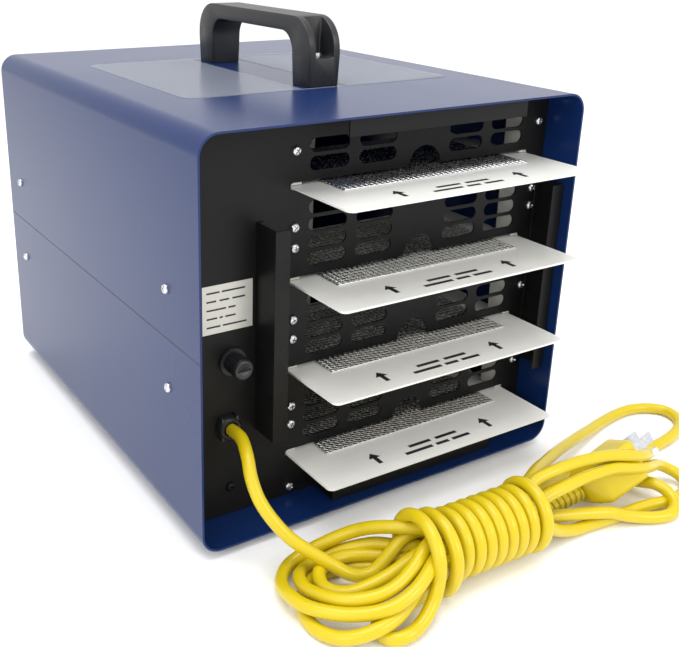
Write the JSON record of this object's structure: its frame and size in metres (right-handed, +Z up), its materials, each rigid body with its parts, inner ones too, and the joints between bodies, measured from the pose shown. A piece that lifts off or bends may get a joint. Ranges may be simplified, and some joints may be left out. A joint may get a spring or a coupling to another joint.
{
  "type": "ozone air purifier",
  "caption": "Portable sheet-metal ozone air purifier: blue cabinet with a carrying handle, fan, slide-out ceramic plates at the rear and a coiled yellow mains cord.",
  "frame": {"origin": "on the floor, midway between the four feet", "axes": "+Z up, +Y towards the rear panel with the plates and the mains cord, +X towards the side of the fuse and the cord outlet"},
  "size_m": [0.3793, 0.432, 0.2893],
  "materials": {
    "blue_paint": "satin powder coat",
    "black_paint": "fine textured powder coat",
    "black_plastic": "fine grain",
    "ivory_plastic": "smooth",
    "zinc": "bright zinc plate",
    "rubber": "matte",
    "galvanised": "plain galvanised sheet",
    "brass": "nickel-free spring brass",
    "transformer": "potted block",
    "circuit_board": "solder mask",
    "red_silicone": "silicone insulation",
    "clear_glass": "glass tube with metal ends",
    "yellow_pvc": "smooth PVC jacket",
    "label_silver": "blank silver label",
    "clear_film": "blank clear protective film",
    "ceramic": "unglazed white alumina",
    "steel_mesh": "woven stainless mesh",
    "red_plastic": "gloss"
  },
  "bodies": {
    "housing": {"lower_shell": "blue_paint", "upper_shell": "blue_paint", "rear_panel": "black_paint", "front_panel": "black_paint", "handle": "black_plastic", "handle_screws": "zinc", "rubber_feet": "rubber", "divider": "galvanised", "guide_left": "ivory_plastic", "guide_right": "ivory_plastic", "contact_bar": "ivory_plastic", "contact_clips": "brass", "hv_transformer": "transformer", "driver_board": "circuit_board", "hv_lead": "red_silicone", "terminal_block": "ivory_plastic", "fuse_holder": "black_plastic", "fuse": "clear_glass", "cord_bushing": "black_plastic", "cord": "yellow_pvc", "cord_hank": "yellow_pvc", "plug_body": "yellow_pvc", "plug_blades": "brass", "bracket_left": "black_paint", "bracket_right": "black_paint", "bracket_top": "black_paint", "bracket_bottom": "black_paint", "rear_screws": "zinc", "ground_screw": "black_paint", "side_screws": "zinc", "front_screws": "zinc", "rating_label": "label_silver", "top_label": "clear_film", "fan_frame": "black_plastic", "fan_guard": "zinc", "timer_body": "ivory_plastic", "switch_body": "black_plastic"},
    "plate_1": {"plate_1": "ceramic", "mesh_1": "steel_mesh"},
    "plate_2": {"plate_2": "ceramic", "mesh_2": "steel_mesh"},
    "plate_3": {"plate_3": "ceramic", "mesh_3": "steel_mesh"},
    "plate_4": {"plate_4": "ceramic", "mesh_4": "steel_mesh"},
    "fan_rotor": {"fan_rotor": "black_plastic"},
    "timer_knob": {"timer_knob": "black_plastic"},
    "power_rocker": {"power_rocker": "red_plastic"},
    "fuse_cap": {"fuse_cap": "black_plastic"}
  },
  "joints": [
    {"name": "plate_1_slide", "type": "slide", "parent": "housing", "child": "plate_1", "axis": [0, 1, 0], "range_m": [-0.046, 0.06]},
    {"name": "plate_2_slide", "type": "slide", "parent": "housing", "child": "plate_2", "axis": [0, 1, 0], "range_m": [-0.044, 0.06]},
    {"name": "plate_3_slide", "type": "slide", "parent": "housing", "child": "plate_3", "axis": [0, 1, 0], "range_m": [-0.0405, 0.06]},
    {"name": "plate_4_slide", "type": "slide", "parent": "housing", "child": "plate_4", "axis": [0, 1, 0], "range_m": [-0.0385, 0.028]},
    {"name": "fan_spin", "type": "hinge", "parent": "housing", "child": "fan_rotor", "pos_m": [-0.0275, -0.1218, 0.124], "axis": [0, -1, 0], "continuous": true},
    {"name": "timer_turn", "type": "hinge", "parent": "housing", "child": "timer_knob", "pos_m": [0.0993, -0.151, 0.17], "axis": [0, 1, 0], "range_deg": [0, 300]},
    {"name": "power_rock", "type": "hinge", "parent": "housing", "child": "power_rocker", "pos_m": [0.0993, -0.137, 0.095], "axis": [1, 0, 0], "range_deg": [-9, 9]},
    {"name": "fuse_cap_turn", "type": "hinge", "parent": "housing", "child": "fuse_cap", "pos_m": [0.099, 0.1415, 0.1064], "axis": [0, -1, 0], "range_deg": [0, 45]}
  ]
}
